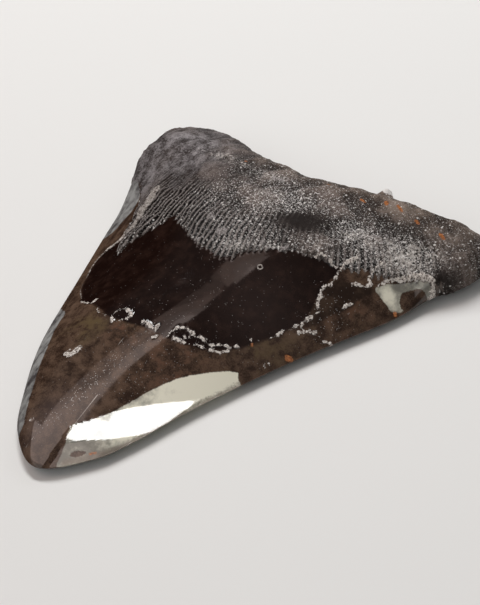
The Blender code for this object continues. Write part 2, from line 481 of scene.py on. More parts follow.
# Which shapes make up each field, in plan.
AREAS: dict[Field, tuple[Patch | Line, ...]] = {
    Field.ENAMEL: (
        Patch((
            (0.2, -86.8), (-0.4, -84.2), (-1.0, -81.4), (-2.2, -76.5), (0.7, -73.5), (4.8, -66.9),
            (8.4, -59.4), (12.6, -52.7), (17.6, -47.4), (22.2, -43.3), (23.4, -44.4), (27.0, -48.0),
            (18.0, -66.0), (10.0, -82.0), (2.0, -86.0),
        )),
        Patch((
            (39.9, -6.6), (40.9, -4.8), (42.9, -2.5), (45.6, 0.0), (48.5, 2.4), (50.2, 2.9), (51.3, 2.2),
            (50.9, 0.3), (49.8, -0.8), (47.7, -3.2), (46.4, -5.8), (45.5, -7.2), (44.5, -7.9), (43.0, -7.5),
            (41.3, -7.3),
        )),
    ),
    Field.GREY_ENAMEL: (
        Patch((
            (-31.7, -44.7), (-30.0, -49.4), (-27.9, -54.1), (-25.6, -58.6), (-23.5, -63.3), (-21.4, -67.3),
            (-18.9, -71.7), (-17.3, -75.2), (-15.5, -78.5), (-14.0, -82.7), (-20.0, -86.0), (-32.0, -66.0),
            (-42.0, -42.0),
        )),
        Patch((
            (-46.5, -7.3), (-52.0, -2.0), (-52.0, 4.8), (-48.0, 5.3), (-44.2, 3.8), (-39.0, -1.6),
            (-37.6, -6.3), (-38.6, -10.1), (-41.0, -14.0), (-48.0, -14.0),
        )),
    ),
    Field.WINDOW: (
        Patch(((1.4, -83.0), (1.9, -81.6), (3.4, -80.6), (4.6, -80.4), (3.8, -81.8), (2.4, -83.0))),
        Patch((
            (44.9, -3.4), (46.2, -1.4), (48.0, 0.4), (49.8, 0.6), (51.5, -1.0), (49.0, -4.5), (46.0, -5.6),
        )),
    ),
    Field.BROWN: (Patch((
        (30.4, -15.8), (31.7, -11.7), (35.2, -9.7), (39.1, -7.1), (40.5, -6.8), (38.1, -11.2),
        (37.1, -14.5), (34.0, -18.8), (32.1, -22.8), (30.1, -23.5),
    )),),
    Field.MARK: (
        Line(((-2.1, -76.2), (-1.5, -66.9)), 0.08, 0.12),
        Line(((-5.2, -56.5), (-4.4, -50.8)), 0.08, 0.10),
        Line(((-9.5, -86.7), (-8.5, -82.2)), 0.08, 0.10),
        Line(((15.8, -19.4), (15.1, -18.8), (14.4, -19.4), (15.1, -20.0)), 0.16, 0.16, closed=True),
    ),
    Field.STAIN: (
        Line(((29.9, -32.7), (30.6, -32.2)), 0.55, 0.45),
        Line(((22.5, -36.0),), 0.3, 0.3),
        Line(((45.4, -7.6),), 0.45, 0.45),
        Line(((5.4, -80.2), (6.4, -79.3)), 0.30, 0.25),
        Line(((-10.2, 11.3),), 0.35, 0.35),
        Line(((15.2, 12.4),), 0.35, 0.35),
        Line(((25.4, 11.8), (26.6, 11.4)), 0.35, 0.30),
        Line(((31.2, 14.2), (31.6, 13.6)), 0.60, 0.50),
        Line(((34.4, 14.4), (36.0, 13.4)), 0.40, 0.40),
        Line(((40.4, 13.2), (41.2, 13.0)), 0.45, 0.40),
        Line(((47.2, 13.2), (48.2, 12.8)), 0.45, 0.50),
    ),
    # Where the painted shade runs along the cream enamel's lower edge.
    Field.SHADOWED: (Line((
        (1.5, -85.0), (8.6, -78.0), (12.8, -71.0), (17.2, -60.5), (22.4, -50.0), (26.0, -43.0),
    ), 1.1, 1.4),),
}

# Which clouds make up each field, and the fields that are held within 0 and 1.
CLOUDS: dict[Field, tuple[Cloud, ...]] = {
    # The clouds where the painted glints gather on the root.
    Field.PAINTED_GLINT: (
        Cloud((9.0, 1.0), (13.0, 8.0), 10.0, 1.0),
        Cloud((6.0, -12.0), (10.0, 5.0), 10.0, 0.5),
        Cloud((30.0, 1.0), (14.0, 6.0), 15.0, 0.6),
        Cloud((-8.0, -2.0), (7.0, 6.0), 0.0, 0.3),
    ),
    Field.SCALE: (
        Cloud((44.0, 3.5), (10.0, 5.0), 35.0, 0.85),
        Cloud((30.0, 1.0), (8.0, 3.0), 20.0, 0.5),
        Cloud((24.0, -8.0), (4.0, 2.0), 20.0, 0.5),
        Cloud((6.0, -17.2), (5.0, 2.5), 10.0, 0.6),
        Cloud((14.8, -14.1), (4.0, 2.0), 30.0, 0.6),
        Cloud((1.2, 8.5), (5.0, 2.5), 10.0, 0.5),
        Cloud((-16.0, 11.0), (14.0, 2.0), -12.0, 0.6),
    ),
    Field.SMOOTH: (
        Cloud((17.5, -3.0), (6.0, 2.6), 22.0, 1.4),
        Cloud((52.0, 4.6), (4.2, 1.6), 50.0, 1.3),
    ),
    Field.LOBE: (
        Cloud((-34.0, 12.0), (15.0, 15.0), 0.0, 1.3),
        Cloud((-46.0, 2.0), (8.0, 10.0), 0.0, 1.0),
    ),
    Field.BACK: (
        Cloud((10.0, 16.0), (22.0, 5.0), 0.0, 1.0),
        Cloud((42.0, 16.5), (18.0, 6.0), 4.0, 1.2),
    ),
    Field.OCHRE: (
        Cloud((-14.0, -50.0), (9.0, 6.0), 20.0, 1.0),
        Cloud((24.0, -36.0), (10.0, 4.0), 50.0, 0.7),
        Cloud((34.0, -16.0), (4.0, 6.0), 0.0, 0.8),
    ),
    Field.RUST: (
        Cloud((-6.0, -50.0), (5.0, 3.0), 0.0, 0.8),
        Cloud((10.0, -52.0), (9.0, 7.0), 50.0, 0.7),
        Cloud((36.0, -14.0), (6.0, 4.0), 50.0, 0.7),
    ),
    Field.SPECKLE: (
        Cloud((10.0, -34.0), (16.0, 10.0), 20.0, 0.3),
        Cloud((2.0, -58.0), (10.0, 16.0), -20.0, 0.7),
        Cloud((-5.4, -69.0), (2.0, 12.0), -14.0, 2.4),
        Cloud((34.0, -19.0), (4.0, 6.0), -30.0, 1.4),
    ),
    # The clouds of the painted sheen, near the tip and mid crown.
    Field.PAINTED_SHEEN: (
        Cloud((-9.0, -78.0), (4.0, 8.0), 0.0, 0.35),
        Cloud((20.0, -28.0), (12.0, 11.0), 0.0, 0.11),
    ),
    Field.CREAM: (
        Cloud((42.6, -5.4), (1.9, 1.9), 0.0, 0.9),
        Cloud((19.0, -50.0), (12.0, 9.0), 50.0, 1.4),
        Cloud((10.0, -68.0), (9.0, 6.0), 50.0, 0.7),
    ),
}
SHARES = (Field.SMOOTH, Field.LOBE, Field.BACK, Field.CREAM)


@dataclass(frozen=True)
class Markings:
    """Where each raised thing on the inner face is, seen in plan.

    Attributes:
        root_line: the root's lower margin, from left to right.
        root_lid: corners that close the root's area round its back.
        bourlette_line: the lower edge of the dark band below the root, from left to right.
        bourlette_lid: corners that close the band's area above it.
        side_rib: the pale line that follows the left cutting edge up to the lobe.
        crust: the raised pale lines and crumbs.
        bead: the white bead on the root's back edge.
        nodules: round grey lumps on the root's lower margin.
        rib_centre: the place that the root's ribs spread from.
        rib_radius: how far from there their spacing is measured.
        rib_pitch: their spacing.
        rib_bend: how far they sway.
        lumps: the root's lumps, as height, wavelength, direction in degrees and phase.
        hollows: the root's hollows, as x, y, half length, half width and depth.
    """

    root_line: tuple[Spot, ...] = (
        (-54.0, 7.0), (-49.0, 5.6), (-44.0, 3.4), (-38.6, -1.4), (-35.0, -7.5), (-32.4, -15.0),
        (-30.6, -22.5), (-28.6, -24.0), (-27.1, -20.8), (-24.5, -19.2), (-22.1, -17.4), (-19.0, -14.3),
        (-17.4, -12.6), (-13.0, -15.3), (-7.3, -18.4), (-2.8, -20.1), (2.6, -21.1), (7.8, -19.7),
        (10.7, -17.1), (13.9, -14.9), (17.1, -13.1), (21.9, -11.5), (25.3, -10.0), (29.2, -9.7),
        (32.3, -7.7), (35.4, -6.1), (38.5, -4.4), (43.5, -1.0), (49.6, 2.9), (54.0, 5.1), (60.0, 8.0),
    )
    root_lid: tuple[Spot, ...] = ((70.0, 60.0), (-70.0, 60.0), (-70.0, 8.0))
    bourlette_line: tuple[Spot, ...] = (
        (-29.5, -41.0), (-27.7, -41.9), (-19.9, -44.1), (-13.1, -47.1), (-7.2, -47.4), (-1.3, -46.8),
        (4.5, -46.5), (9.6, -45.6), (15.2, -43.3), (19.9, -39.5), (23.8, -34.4), (27.2, -28.6),
        (29.6, -24.5), (31.1, -20.3), (30.6, -17.2), (30.4, -14.8), (31.5, -10.7),
    )
    bourlette_lid: tuple[Spot, ...] = ((31.5, 20.0), (-31.0, 20.0))
    side_rib: Line = Line((
        (-28.6, -40.6), (-32.8, -36.6), (-34.7, -33.2), (-35.7, -30.4), (-36.7, -28.0), (-37.3, -24.6),
        (-36.3, -22.4), (-35.5, -20.9), (-33.8, -19.9), (-32.5, -18.6), (-31.5, -16.9), (-29.5, -15.3),
        (-30.0, -11.4), (-29.8, -7.7), (-30.9, -3.0),
    ), 0.10, 1.80, swell=2.0)
    crust: tuple[Line, ...] = (
        Line(((-27.7, -41.9), (-25.0, -42.7), (-22.9, -42.9), (-22.0, -41.8)), 0.20, 0.44),
        Line(((-18.5, -44.9), (-16.3, -46.5), (-13.9, -46.9)), 0.20, 0.24),
        Line((
            (-11.5, -47.4), (-12.1, -45.8), (-11.4, -44.5), (-9.7, -43.7), (-7.1, -45.0), (-7.3, -46.4),
            (-9.1, -47.4), (-10.5, -48.2),
        ), 0.40, 0.40, closed=True),
        Line(((-2.8, -45.6), (-1.5, -45.7), (-0.1, -45.9), (1.3, -46.2), (1.2, -44.7)), 0.44, 0.40),
        Line(((-1.6, -48.6), (-0.4, -47.3)), 0.20, 0.24),
        Line(((1.7, -48.1), (2.8, -47.1)), 0.28, 0.32),
        Line(((4.0, -47.6), (4.3, -46.3)), 0.28, 0.28),
        Line((
            (5.1, -46.1), (5.0, -44.7), (5.7, -43.4), (7.0, -42.3), (8.6, -42.0), (10.2, -42.4),
            (11.5, -42.1), (13.2, -42.1), (14.4, -42.3), (16.1, -41.0), (17.8, -40.1), (18.7, -39.9),
        ), 0.40, 0.32),
        Line((
            (5.2, -44.9), (6.4, -45.4), (8.1, -45.4), (10.1, -45.0), (11.8, -44.1), (13.6, -43.7),
            (15.1, -43.1), (16.9, -42.3), (18.3, -41.0), (18.7, -39.9),
        ), 0.36, 0.36),
        Line(((8.0, -43.8), (9.2, -43.9), (9.7, -43.0)), 0.20, 0.24),
        Line(((21.6, -36.3), (22.5, -36.0), (21.6, -35.3)), 0.32, 0.32),
        Line(((19.4, -39.1), (20.1, -38.5)), 0.28, 0.24),
        Line((
            (23.7, -34.3), (24.8, -33.0), (25.5, -31.3), (26.4, -29.5), (27.6, -27.7), (28.5, -25.9),
            (29.5, -24.3),
        ), 0.14, 0.22),
        Line((
            (29.5, -24.3), (30.2, -22.7), (30.9, -21.4), (31.2, -19.9), (30.7, -18.9), (30.4, -17.9),
            (30.4, -16.9), (30.3, -15.7), (30.5, -14.5), (31.3, -13.0), (31.6, -10.9), (31.6, -9.5),
            (31.8, -7.9), (32.5, -5.7), (33.3, -3.8),
        ), 0.32, 0.40),
        Line(((30.5, -14.5), (29.5, -14.2), (28.5, -14.2)), 0.24, 0.20),
        Line(((29.5, -24.3), (29.7, -25.3), (30.6, -25.4), (29.8, -26.5)), 0.28, 0.24),
        Line(((31.2, -25.1), (32.2, -24.6), (32.6, -23.8)), 0.24, 0.24),
        Line(((34.0, -24.0), (35.2, -23.8), (36.4, -23.1)), 0.36, 0.32),
        Line((
            (25.4, -10.2), (26.5, -8.8), (28.2, -8.7), (29.8, -9.2), (31.2, -8.7), (32.1, -7.9),
        ), 0.28, 0.36),
        Line(((35.2, -9.7), (36.1, -8.9), (37.2, -8.4), (38.1, -7.7), (38.6, -6.5)), 0.32, 0.40),
        Line(((38.6, -6.5), (37.7, -5.4), (37.9, -3.2), (38.4, -1.1)), 0.40, 0.40),
        Line((
            (39.7, -6.2), (40.4, -4.8), (41.7, -2.8), (43.5, -1.0), (45.3, 0.8), (47.2, 2.4),
            (48.9, 3.3), (50.0, 3.2), (50.6, 2.4), (50.5, 1.0),
        ), 0.52, 0.60),
        Line(((35.7, -15.3), (36.4, -14.2), (37.0, -13.2)), 0.24, 0.24),
        Line(((26.6, -37.8), (26.5, -36.6), (27.6, -36.8)), 0.24, 0.24),
        Line((
            (-16.6, -61.0), (-15.2, -61.8), (-13.9, -60.2), (-13.6, -57.6), (-15.3, -58.8),
        ), 0.28, 0.28, closed=True),
        Line(((-15.4, -60.8), (-14.2, -58.6)), 0.95, 0.50),
        Line(((-13.2, -79.8), (-12.6, -79.2), (-12.0, -79.8), (-12.6, -80.4)), 0.16, 0.16, closed=True),
    )
    bead: Line = Line(((27.6, 19.0),), 1.25, 1.25)
    nodules: tuple[Line, ...] = (
        Line(((-5.2, -11.2),), 1.2, 1.2),
        Line(((0.4, -14.8), (1.0, -14.4)), 1.3, 1.2),
        Line(((-4.8, -18.8), (-4.4, -18.4)), 0.7, 0.6),
        Line(((14.0, -14.3), (15.6, -13.8)), 0.6, 0.5),
        Line(((17.6, -12.6), (18.4, -12.0)), 0.8, 0.7),
        Line(((12.4, -13.6),), 0.8, 0.8),
        Line(((2.0, 7.0), (3.8, 7.6)), 0.9, 0.7),
        Line(((-3.6, 2.0), (-2.6, 2.4)), 0.7, 0.6),
    )
    rib_centre: Spot = (-4.0, 60.0)
    rib_radius: float = 78.0
    rib_pitch: float = 1.6
    rib_bend: float = 0.9
    lumps: tuple[tuple[float, ...], ...] = (
        (0.22, 17.0, 20.0, 0.4), (0.16, 12.0, 75.0, 1.9), (0.12, 9.1, 131.0, 4.2), (0.09, 6.8, 48.0, 2.7),
        (0.08, 5.7, 160.0, 5.6), (0.06, 4.6, 100.0, 0.9),
    )
    hollows: tuple[tuple[float, ...], ...] = (
        (17.5, -3.0, 5.6, 2.8, 0.8), (-3.0, 12.0, 3.0, 2.6, 0.7), (-30.0, 6.0, 4.0, 3.0, 0.6),
        (38.0, 6.0, 4.6, 3.0, 0.7), (25.0, -1.0, 3.4, 2.4, 0.6),
    )

    def root_depth(self, x: Array, y: Array) -> Array:
        """How far places are above the root's lower margin, negative on the crown."""
        return Patch(self.root_line + self.root_lid, smooth=False).depth(x, y)

    def bourlette_depth(self, x: Array, y: Array) -> Array:
        """How far places are above the dark band's lower edge, negative on the crown below it."""
        lid = self.bourlette_lid + self.side_rib.points[::-1]
        return Patch(self.bourlette_line + lid, smooth=False).depth(x, y)

    def rib_wave(self, x: Array, y: Array, sway: Array) -> Array:
        """The root's ribs.

        Args:
            x: the places' x.
            y: the places' y.
            sway: a noise from -1 to 1 that bends the ribs.

        Returns:
            1 on a rib's crest, 0 between two.
        """
        turn = np.arctan2(x - self.rib_centre[0], self.rib_centre[1] - y)
        across = turn * self.rib_radius + self.rib_bend * sway
        return 0.5 + 0.5 * np.cos(2 * np.pi * across / self.rib_pitch)

    def unevenness(self, x: Array, y: Array) -> Array:
        """The root's lumps and hollows.

        Args:
            x: the places' x.
            y: the places' y.

        Returns:
            The height that they add to the root at each place.
        """
        lumps = np.zeros(len(x))
        for height, length, degrees, phase in self.lumps:
            turn = math.radians(degrees)
            run = (x * math.cos(turn) + y * math.sin(turn)) / length
            lumps += height * np.sin(2 * np.pi * run + phase)
        hollows = np.zeros(len(x))
        for at_x, at_y, long, wide, depth in self.hollows:
            hollows += depth * np.exp(-(((x - at_x) / long) ** 2) - ((y - at_y) / wide) ** 2)
        return lumps - hollows


@dataclass(frozen=True)
class Ridge:
    """How a shape stands up from the surface.

    Attributes:
        height: how far.
        wander: how far fine waves move its edge.
        low: how deep in the shape it starts to rise.
        high: how deep it is full.
    """

    height: float
    wander: float
    low: float
    high: float

    def rise(self, depth: Array) -> Array:
        """The height that it adds at this depth in the shape."""
        return self.height * smoothstep(self.low, self.high, depth)


@dataclass(frozen=True)
class Relief:
    """Everything that the surface has over the smooth form.

    Attributes:
        marks: where the raised things are.
        ragged: the waves of the root's lower margin.
        fine: the waves of every small edge.
        sway: the waves that bend the ribs.
        grit: the waves of the root's finest lumps.
        step: how far the root stands over the crown.
        step_width: how wide that step is in plan.
        margin_wander: how far the root's margin wanders.
        margin_notch: how far each rib's end reaches down past it.
        grit_height: height of the finest lumps.
        smooth_loss: the share of that height which a smooth place lacks.
        rib_height: the ribs' height.
        rib_reach: how far up the root they run.
        rib_full_share: the share of that reach over which they are full.
        rib_low: the part of a rib that lies below the root's surface.
        rib_middle: x of the middle of the ribbed margin.
        rib_spread: how far from that middle the ribs start to fade, and where they are faintest.
        rib_least: the faintest ribs' share.
        rib_end: how deep in the root a rib starts, and where it is full.
        right_ribs: x of a second ribbed place, its half width and how far up it reaches.
        crust: the pale crust.
        crust_thin: how much narrower it is than its lines.
        side: the pale line along the left cutting edge.
        nodule: the grey lumps.
        bead_height: height of the white bead.
        facet_top: the upper edge of the polished facet on the enamel, as x and y.
        facet_foot: its lower edge.
        facet_tilt: how much flatter the facet is than the face round it.
    """

    marks: Markings
    ragged: Grain = Grain(3, 2.6, 3)
    fine: Grain = Grain(11, 1.1, 2)
    sway: Grain = Grain(21, 7.0, 2)
    grit: Grain = Grain(31, 1.7, 3)
    step: float = 0.5
    step_width: float = 1.1
    margin_wander: float = 1.1
    margin_notch: float = 0.8
    grit_height: float = 0.40
    smooth_loss: float = 0.8
    rib_height: float = 0.42
    rib_reach: float = 17.0
    rib_full_share: float = 0.45
    rib_low: float = 0.3
    rib_middle: float = -10.0
    rib_spread: Spot = (14.0, 34.0)
    rib_least: float = 0.25
    rib_end: Spot = (-0.6, 0.4)
    right_ribs: tuple[float, float, float] = (35.0, 9.0, 7.0)
    crust: Ridge = Ridge(0.16, 0.60, -0.10, 0.35)
    crust_thin: float = 0.08
    side: Ridge = Ridge(0.45, 0.35, -0.5, 0.6)
    nodule: Ridge = Ridge(0.35, 0.25, -0.3, 0.8)
    bead_height: float = 1.9
    facet_top: tuple[Spot, ...] = (
        (-2.6, -77.8), (-2.2, -76.5), (1.2, -72.2), (5.1, -67.3), (10.1, -62.0), (16.9, -55.4),
        (19.0, -53.0),
    )
    facet_foot: tuple[Spot, ...] = (
        (-2.6, -77.8), (-1.2, -81.2), (1.5, -78.9), (5.4, -76.1), (8.9, -73.0), (13.8, -67.6),
        (16.8, -59.6), (19.0, -53.0),
    )
    facet_tilt: float = 0.20

    def facet(self, x: Array, y: Array) -> Array:
        """The polished facet on the right edge's enamel, which is too shallow to need a shape.

        Args:
            x: the places' x.
            y: the places' y.

        Returns:
            Its height at each place.
        """
        top = read_curve(self.facet_top, x)
        depth = np.clip(top - y, 0.0, np.maximum(top - read_curve(self.facet_foot, x), 0.0))
        return self.facet_tilt * depth

    def ribbed(self, x: Array, root: Array) -> Array:
        """Where the root has ribs.

        Args:
            x: the places' x.
            root: how deep they are in the root.

        Returns:
            The ribs' share of their full height at each place.
        """
        at_x, wide, deep = self.right_ribs
        middle = 1 - smoothstep(*self.rib_spread, np.abs(x - self.rib_middle))
        middle = np.maximum(middle, np.exp(-(((x - at_x) / wide) ** 2) - (root / deep) ** 2))
        reach = 1 - smoothstep(self.rib_full_share * self.rib_reach, self.rib_reach, root)
        return smoothstep(*self.rib_end, root) * np.maximum(middle, self.rib_least) * reach

    def fields(self, points: Array) -> tuple[dict[Field, Array], Array]:
        """Works out every field and the height to add.

        Args:
            points: places on the smooth form, one a row.

        Returns:
            The fields, and how far each place moves out along the surface's normal.
        """
        marks = self.marks
        x, y = points[:, 0], points[:, 1]
        fields = {field: deepest(shapes, x, y) for field, shapes in AREAS.items()}
        fields |= {field: strewn(clouds, x, y) for field, clouds in CLOUDS.items()}
        fields |= {field: np.clip(fields[field], 0, 1) for field in SHARES}
        fine = self.fine(points)
        wave = marks.rib_wave(x, y, self.sway(points))
        wander = self.margin_wander * self.ragged(points)
        root = marks.root_depth(x, y) + wander + self.margin_notch * (wave - 0.5)
        crust = deepest(marks.crust, x, y) + self.crust.wander * fine - self.crust_thin
        side = marks.side_rib.depth(x, y) + self.side.wander * fine
        nodule = deepest(marks.nodules, x, y) + self.nodule.wander * fine
        bead = marks.bead.depth(x, y)
        in_root = smoothstep(0.0, self.step_width, root)
        ribbed = self.ribbed(x, root)
        grit = self.grit_height * self.grit(points) * (1 - self.smooth_loss * fields[Field.SMOOTH])
        rough = marks.unevenness(x, y) + grit
        height = in_root * (self.step + rough) + self.rib_height * ribbed * (wave - self.rib_low)
        height += self.crust.rise(crust) * (1 + 0.8 * fine)
        height += self.side.rise(side) * (1 - 0.5 * in_root)
        height += self.nodule.rise(nodule)
        swelling = np.clip(bead / marks.bead.start, 0, 1)
        height += self.bead_height * np.sqrt(swelling * (2 - swelling))
        fields |= {
            Field.ROOT: root,
            Field.BOURLETTE: marks.bourlette_depth(x, y),
            Field.SIDE_RIB: side,
            Field.CRUST: crust,
            Field.NODULE: nodule,
            Field.BEAD: bead,
            Field.RIBBED: ribbed,
            Field.CREST: wave,
            Field.RELIEF: rough,
            Field.TILT: self.facet(x, y),
        }
        return fields, height


@dataclass(frozen=True)
class Paint:
    """A colour as it shows on a screen, each part from 0 to 255.

    Attributes:
        red: its red part.
        green: its green part.
        blue: its blue part.
    """

    red: float
    green: float
    blue: float

    def linear(self) -> Colour:
        """The colour in linear light."""
        parts = (part / 255 for part in (self.red, self.green, self.blue))
        return tuple(p / 12.92 if p <= 0.04045 else ((p + 0.055) / 1.055) ** 2.4 for p in parts)


@dataclass(frozen=True)
class Wire:
    """The output of a shader node, with arithmetic that adds nodes to the same tree.

    Attributes:
        tree: the tree that it belongs to.
        socket: the output.
    """

    tree: "Tree"
    socket: bpy.types.NodeSocket

    def maths(self, operation: str, other: "Wire | float") -> "Wire":
        """Adds a Math node that takes this value and another."""
        return self.tree.add("ShaderNodeMath", {"operation": operation}, {0: self, 1: other})

    def __add__(self, other: "Wire | float") -> "Wire":
        """This plus the other."""
        return self.maths("ADD", other)

    __radd__ = __add__

    def __sub__(self, other: "Wire | float") -> "Wire":
        """This minus the other."""
        return self.maths("SUBTRACT", other)

    def __rsub__(self, other: float) -> "Wire":
        """The other minus this."""
        return self * -1.0 + other

    def __mul__(self, other: "Wire | float") -> "Wire":
        """This times the other."""
        return self.maths("MULTIPLY", other)

    def over(self, low: float, high: float) -> "Wire":
        """A smooth rise from 0 at low to 1 at high."""
        settings = {"interpolation_type": "SMOOTHSTEP"}
        return self.tree.add("ShaderNodeMapRange", settings, {0: self, 1: low, 2: high})

    def most(self, other: "Wire | float") -> "Wire":
        """The greater of this and the other."""
        return self.maths("MAXIMUM", other)

    def least(self, other: "Wire | float") -> "Wire":
        """The lesser of this and the other."""
        return self.maths("MINIMUM", other)


class Tree:
    """The shader nodes of one material.

    Attributes:
        material: the material.
        nodes: its nodes.
        links: what joins them.
        place: the place in space that is being shaded, in millimetres.
    """

    def __init__(self, name: str) -> None:
        """Starts an empty material.

        Args:
            name: its name.
        """
        self.material = bpy.data.materials.new(name)
        self.material.use_nodes = True
        self.nodes = self.material.node_tree.nodes
        self.links = self.material.node_tree.links
        self.nodes.clear()
        place = self.add("ShaderNodeTexCoord", {}, {}, 3)
        scaled = {"operation": "SCALE"}
        self.place = self.add("ShaderNodeVectorMath", scaled, {0: place, 3: 1 / MM})

    def add(self, kind: str, settings: dict, sockets: dict, out: int = 0) -> Wire:
        """Adds a node.

        Args:
            kind: its type.
            settings: its properties, set first.
            sockets: its inputs by name or number, as wires or fixed values.
            out: the number of the output to give back.

        Returns:
            That output.
        """
        node = self.nodes.new(kind)
        for name, value in settings.items():
            setattr(node, name, value)
        for name, value in sockets.items():
            if isinstance(value, Wire):
                self.links.new(value.socket, node.inputs[name])
            else:
                node.inputs[name].default_value = value
        return Wire(self, node.outputs[out])

    def close(self, shader: Wire) -> None:
        """Joins the shader to the material's output."""
        output = self.nodes.new("ShaderNodeOutputMaterial")
        self.links.new(shader.socket, output.inputs[0])

    def field(self, field: Field) -> Wire:
        """Reads one of the mesh's stored fields."""
        settings = {"attribute_type": "GEOMETRY", "attribute_name": field.stored}
        return self.add("ShaderNodeAttribute", settings, {}, 2)

    def noise(self, size: float, detail: float = 3.0, rough: float = 0.5, shift: float = 0.0) -> Wire:
        """Smooth noise in space, from 0 to 1.

        Args:
            size: the width of its waves, in millimetres.
            detail: how many finer layers it has.
            rough: how strong these are.
            shift: moves it, so that two of the same size differ.

        Returns:
            The noise.
        """
        where = self.add("ShaderNodeVectorMath", {"operation": "ADD"}, {0: self.place, 1: (shift,) * 3})
        sockets = {"Vector": where, "Scale": 1 / size, "Detail": detail, "Roughness": rough}
        return self.add("ShaderNodeTexNoise", {}, sockets)

    def grains(self, size: float, share: float, reach: float, favour: Wire) -> Wire:
        """Small round grains scattered over the surface.

        Args:
            size: the width of the cell that each grain sits in, in millimetres.
            share: how many cells hold a grain.
            reach: the grain's radius as a share of its cell.
            favour: where there are more of them.

        Returns:
            1 on a grain, 0 between grains.
        """
        sockets = {"Vector": self.place, "Scale": 1 / size}
        gap = self.add("ShaderNodeTexVoronoi", {}, sockets)
        cell = self.add("ShaderNodeTexVoronoi", {}, sockets, 1)
        chance = self.add("ShaderNodeSeparateXYZ", {}, {0: cell})
        there = (chance + favour).over(1 - share, 1 - share + GRAIN_CHANCE_BLUR)
        return there * (gap * -1.0).over(-reach - GRAIN_BLUR, -reach + GRAIN_BLUR)

    def blend(self, share: Wire | float, low: Wire | Colour, high: Wire | Colour) -> Wire:
        """Mixes two colours.

        Args:
            share: how much of the second there is.
            low: the first colour.
            high: the second.

        Returns:
            The mixed colour.
        """
        ends = [end if isinstance(end, Wire) else (*end, 1.0) for end in (low, high)]
        return self.add("ShaderNodeMix", {"data_type": "RGBA"}, {0: share, 6: ends[0], 7: ends[1]}, 2)

    def pick(self, share: Wire, low: Wire | float, high: Wire | float) -> Wire:
        """Mixes two numbers by a share."""
        return self.add("ShaderNodeMix", {"data_type": "FLOAT"}, {0: share, 2: low, 3: high})


@dataclass(frozen=True)
class Edge:
    """How a zone's edge looks.

    Attributes:
        low: how deep in its shape the zone starts, in millimetres.
        high: how deep it is full.
        fine: how far fine noise moves the edge.
        cloud: how far coarse noise moves it.
    """

    low: float
    high: float
    fine: float = 0.7
    cloud: float = 0.0


# How each zone's edge looks.
EDGES: dict[Field, Edge] = {
    Field.ROOT: Edge(-0.15, 0.25),
    Field.BOURLETTE: Edge(-0.5, 0.5),
    Field.BROWN: Edge(-0.4, 0.4),
    Field.ENAMEL: Edge(-0.15, 0.15, 0.4, 0.8),
    Field.GREY_ENAMEL: Edge(-0.15, 0.15, 0.4, 0.8),
    Field.WINDOW: Edge(-0.12, 0.12),
    Field.SHADOWED: Edge(-0.3, 0.9, 1.6, 2.4),
    Field.MARK: Edge(-0.05, 0.10, 0.105),
    Field.CRUST: Edge(-0.04, 0.16, 1.33),
    Field.SIDE_RIB: Edge(-0.10, 0.40, 0.63),
    Field.NODULE: Edge(-0.1, 0.5, 0.8),
    Field.STAIN: Edge(-0.2, 0.2),
    Field.BEAD: Edge(-0.05, 0.10, 0.0),
}


@dataclass(frozen=True)
class Finish:
    """The two colours of one zone of the tooth, mixed by a noise.

    Attributes:
        dark: its darker colour.
        light: its lighter colour.
        low: where in the noise it starts to lighten.
        high: where it is lightest.
    """

    dark: Paint
    light: Paint
    low: float
    high: float


class ToothTree(Tree):
    """The tooth's shader nodes, with the noises that all its zones share.

    Attributes:
        fine: noise half a millimetre wide.
        grain: finer noise.
        broad: noise about 9 mm wide.
        cloud: noise about 3 mm wide.
    """

    def __init__(self, name: str) -> None:
        """Starts the material and its noises.

        Args:
            name: the material's name.
        """
        super().__init__(name)
        self.fine = self.noise(0.55, 3.0, 0.65)
        self.grain = self.noise(0.32, 2.0, 0.6, 31.0)
        self.broad = self.noise(9.0, 4.0, 0.6, 7.0)
        self.cloud = self.noise(3.2, 4.0, 0.62, 17.0)

    def zone(self, field: Field) -> Wire:
        """How much of a zone there is, with a ragged edge.

        Args:
            field: the zone's shape.

        Returns:
            1 in the zone, 0 outside it.
        """
        edge = EDGES[field]
        ragged = (self.fine - 0.5) * edge.fine + (self.cloud - 0.5) * edge.cloud
        return (self.field(field) + ragged).over(edge.low, edge.high)

    def tones(self, finish: Finish, noise: Wire) -> Wire:
        """A finish's two colours, mixed by a noise."""
        share = noise.over(finish.low, finish.high)
        return self.blend(share, finish.dark.linear(), finish.light.linear())


